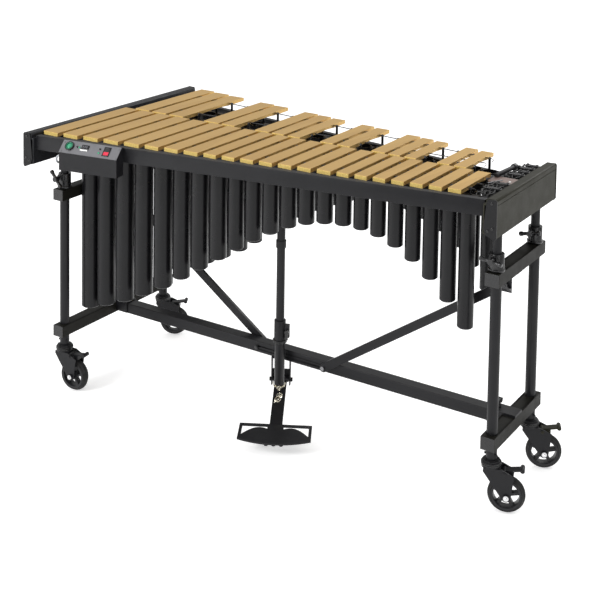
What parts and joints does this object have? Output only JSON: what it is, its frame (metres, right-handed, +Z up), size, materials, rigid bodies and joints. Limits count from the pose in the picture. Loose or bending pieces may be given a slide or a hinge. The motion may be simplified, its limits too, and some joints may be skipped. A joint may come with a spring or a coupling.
{
  "type": "vibraphone",
  "caption": "Free-standing vibraphone with gold tone bars, arched black resonators, motor fans, pedal-worked damper and a height-adjustable rolling stand.",
  "frame": {"origin": "on the floor, under the middle of the outline (the middle of the bounding box) with the casters turned as at rest", "axes": "+X runs to the high notes, -Y is the player's side, +Z is up"},
  "size_m": [1.5528, 0.8385, 0.866],
  "materials": {
    "black_paint": "fine powder coat",
    "resonator_black": "semi-gloss black paint",
    "grey_board": "satin dark grey paint",
    "black_plastic": "matte moulded plastic",
    "black_cord": "braided cord",
    "gold_bars": "satin gold-anodised",
    "bright_steel": "polished",
    "bronze_plate": "satin plated",
    "black_rubber": "matte rubber",
    "wheel_black": "moulded core with bonded rubber tread",
    "silver_panel": "brushed",
    "green_plastic": "gloss",
    "red_plastic": "gloss",
    "grey_cable": "soft sheath",
    "black_felt": "dense felt"
  },
  "bodies": {
    "base": {"crossbars": "black_paint", "tube_plugs": "black_plastic", "legs": "black_paint", "stretcher_beam": "black_paint", "frame_brackets": "black_paint", "braces": "black_paint", "frame_bolts": "bright_steel", "leg_clamps": "black_plastic", "caster_stems": "black_paint", "pedal_bracket": "black_paint"},
    "keyboard": {"posts": "bright_steel", "end_board_low": "grey_board", "end_board_high": "grey_board", "end_plates": "black_paint", "end_screws": "black_plastic", "keyboard_rails": "black_paint", "cord_posts": "black_plastic", "cords": "black_cord", "natural_bars": "gold_bars", "accidental_bars": "gold_bars", "natural_tubes": "resonator_black", "accidental_tubes": "resonator_black", "tube_caps": "black_plastic", "resonator_rails": "black_paint", "motor": "black_plastic", "motor_bracket": "bronze_plate", "drive_belts": "black_rubber", "control_box": "black_paint", "control_panel": "silver_panel", "power_cable": "grey_cable", "damper_guides": "black_paint", "damper_springs": "bright_steel"},
    "damper": {"damper_bar": "black_paint", "damper_felt": "black_felt", "pull_rod": "black_paint"},
    "rod_lower": {"rod_sleeve": "black_paint", "rod_chain": "bright_steel"},
    "rod_lever": {"rod_lever": "black_plastic"},
    "pedal": {"pedal": "black_paint"},
    "natural_fans": {"natural_fans": "bright_steel"},
    "accidental_fans": {"accidental_fans": "bright_steel"},
    "motor_shaft": {"motor_pulley": "bright_steel"},
    "power_switch": {"power_switch": "green_plastic"},
    "fan_rocker": {"fan_rocker": "red_plastic"},
    "clamp_knob_front_low": {"clamp_knob_front_low": "black_plastic"},
    "fork_front_low": {"fork_front_low": "black_paint"},
    "wheel_front_low": {"wheel_front_low": "wheel_black"},
    "brake_front_low": {"brake_front_low": "black_paint"},
    "clamp_knob_front_high": {"clamp_knob_front_high": "black_plastic"},
    "fork_front_high": {"fork_front_high": "black_paint"},
    "wheel_front_high": {"wheel_front_high": "wheel_black"},
    "brake_front_high": {"brake_front_high": "black_paint"},
    "clamp_knob_back_low": {"clamp_knob_back_low": "black_plastic"},
    "fork_back_low": {"fork_back_low": "black_paint"},
    "wheel_back_low": {"wheel_back_low": "wheel_black"},
    "brake_back_low": {"brake_back_low": "black_paint"},
    "clamp_knob_back_high": {"clamp_knob_back_high": "black_plastic"},
    "fork_back_high": {"fork_back_high": "black_paint"},
    "wheel_back_high": {"wheel_back_high": "wheel_black"},
    "brake_back_high": {"brake_back_high": "grey_board"}
  },
  "joints": [
    {"name": "height_adjust", "type": "slide", "parent": "base", "child": "keyboard", "axis": [0, 0, 1], "range_m": [-0.03, 0.09]},
    {"name": "a_pedal_press", "type": "hinge", "parent": "base", "child": "pedal", "pos_m": [-0.0744, -0.00275, 0.106], "axis": [0.8746, 0.4848, 0], "range_deg": [0, 7]},
    {"name": "rod_sleeve_slide", "type": "slide", "parent": "base", "child": "rod_lower", "axis": [0, 0, 1], "range_m": [-0.0075, 0]},
    {"name": "damper_drop", "type": "slide", "parent": "keyboard", "child": "damper", "axis": [0, 0, 1], "range_m": [-0.0075, 0], "deforming": ["damper_springs"]},
    {"name": "rod_lever_turn", "type": "hinge", "parent": "rod_lower", "child": "rod_lever", "pos_m": [-0.02732, -0.04271, 0.286], "axis": [0.342, -0.9397, 0], "range_deg": [0, 100]},
    {"name": "clamp_screw_front_low", "type": "hinge", "parent": "base", "child": "clamp_knob_front_low", "pos_m": [-0.747, -0.25275, 0.693], "axis": [0, 1, 0], "range_deg": [0, 180]},
    {"name": "caster_swivel_front_low", "type": "hinge", "parent": "base", "child": "fork_front_low", "pos_m": [-0.747, -0.25275, 0.12], "axis": [0, 0, 1], "continuous": true},
    {"name": "wheel_spin_front_low", "type": "hinge", "parent": "fork_front_low", "child": "wheel_front_low", "pos_m": [-0.7051, -0.24982, 0.0508], "axis": [-0.0698, 0.9976, 0], "continuous": true},
    {"name": "brake_tread_front_low", "type": "hinge", "parent": "fork_front_low", "child": "brake_front_low", "pos_m": [-0.71109, -0.25024, 0.114], "axis": [-0.0698, 0.9976, 0], "range_deg": [0, 8]},
    {"name": "clamp_screw_front_high", "type": "hinge", "parent": "base", "child": "clamp_knob_front_high", "pos_m": [0.6882, -0.13675, 0.693], "axis": [0, 1, 0], "range_deg": [0, 180]},
    {"name": "caster_swivel_front_high", "type": "hinge", "parent": "base", "child": "fork_front_high", "pos_m": [0.6882, -0.13675, 0.12], "axis": [0, 0, 1], "continuous": true},
    {"name": "wheel_spin_front_high", "type": "hinge", "parent": "fork_front_high", "child": "wheel_front_high", "pos_m": [0.72767, -0.12238, 0.0508], "axis": [-0.342, 0.9397, 0], "continuous": true},
    {"name": "brake_tread_front_high", "type": "hinge", "parent": "fork_front_high", "child": "brake_front_high", "pos_m": [0.72203, -0.12444, 0.114], "axis": [-0.342, 0.9397, 0], "range_deg": [0, 8]},
    {"name": "clamp_screw_back_low", "type": "hinge", "parent": "base", "child": "clamp_knob_back_low", "pos_m": [-0.747, 0.24725, 0.693], "axis": [0, 1, 0], "range_deg": [0, 180]},
    {"name": "caster_swivel_back_low", "type": "hinge", "parent": "base", "child": "fork_back_low", "pos_m": [-0.747, 0.24725, 0.12], "axis": [0, 0, 1], "continuous": true},
    {"name": "wheel_spin_back_low", "type": "hinge", "parent": "fork_back_low", "child": "wheel_back_low", "pos_m": [-0.71063, 0.26825, 0.0508], "axis": [-0.5, 0.866, 0], "continuous": true},
    {"name": "brake_tread_back_low", "type": "hinge", "parent": "fork_back_low", "child": "brake_back_low", "pos_m": [-0.71582, 0.26525, 0.114], "axis": [-0.5, 0.866, 0], "range_deg": [0, 8]},
    {"name": "clamp_screw_back_high", "type": "hinge", "parent": "base", "child": "clamp_knob_back_high", "pos_m": [0.6882, 0.13125, 0.693], "axis": [0, 1, 0], "range_deg": [0, 180]},
    {"name": "caster_swivel_back_high", "type": "hinge", "parent": "base", "child": "fork_back_high", "pos_m": [0.6882, 0.13125, 0.12], "axis": [0, 0, 1], "continuous": true},
    {"name": "wheel_spin_back_high", "type": "hinge", "parent": "fork_back_high", "child": "wheel_back_high", "pos_m": [0.72595, 0.14966, 0.0508], "axis": [-0.4384, 0.8988, 0], "continuous": true},
    {"name": "brake_tread_back_high", "type": "hinge", "parent": "fork_back_high", "child": "brake_back_high", "pos_m": [0.72056, 0.14703, 0.114], "axis": [-0.4384, 0.8988, 0], "range_deg": [0, 8]},
    {"name": "motor_spin", "type": "hinge", "parent": "keyboard", "child": "motor_shaft", "pos_m": [0.6106, 0.03125, 0.806], "axis": [1, 0, 0], "continuous": true},
    {"name": "natural_fan_spin", "type": "hinge", "parent": "keyboard", "child": "natural_fans", "pos_m": [-0.0294, -0.12875, 0.806], "axis": [0.9964, 0.0847, 0], "continuous": true},
    {"name": "accidental_fan_spin", "type": "hinge", "parent": "keyboard", "child": "accidental_fans", "pos_m": [-0.0294, 0.17175, 0.806], "axis": [0.9972, -0.0743, 0], "continuous": true},
    {"name": "power_push", "type": "slide", "parent": "keyboard", "child": "power_switch", "axis": [-0.1059, 0.7108, -0.6954], "range_m": [0, 0.002]},
    {"name": "fan_rocker_tilt", "type": "hinge", "parent": "keyboard", "child": "fan_rocker", "pos_m": [-0.45724, -0.37981, 0.84516], "axis": [0.9891, 0.1474, 0], "range_deg": [-12, 0]}
  ],
  "couplings": [
    {"joint": "rod_sleeve_slide", "follows": "a_pedal_press", "m_per_rad": -0.053},
    {"joint": "damper_drop", "follows": "a_pedal_press", "m_per_rad": -0.053},
    {"joint": "natural_fan_spin", "follows": "motor_spin", "ratio": 1},
    {"joint": "accidental_fan_spin", "follows": "motor_spin", "ratio": 1}
  ]
}
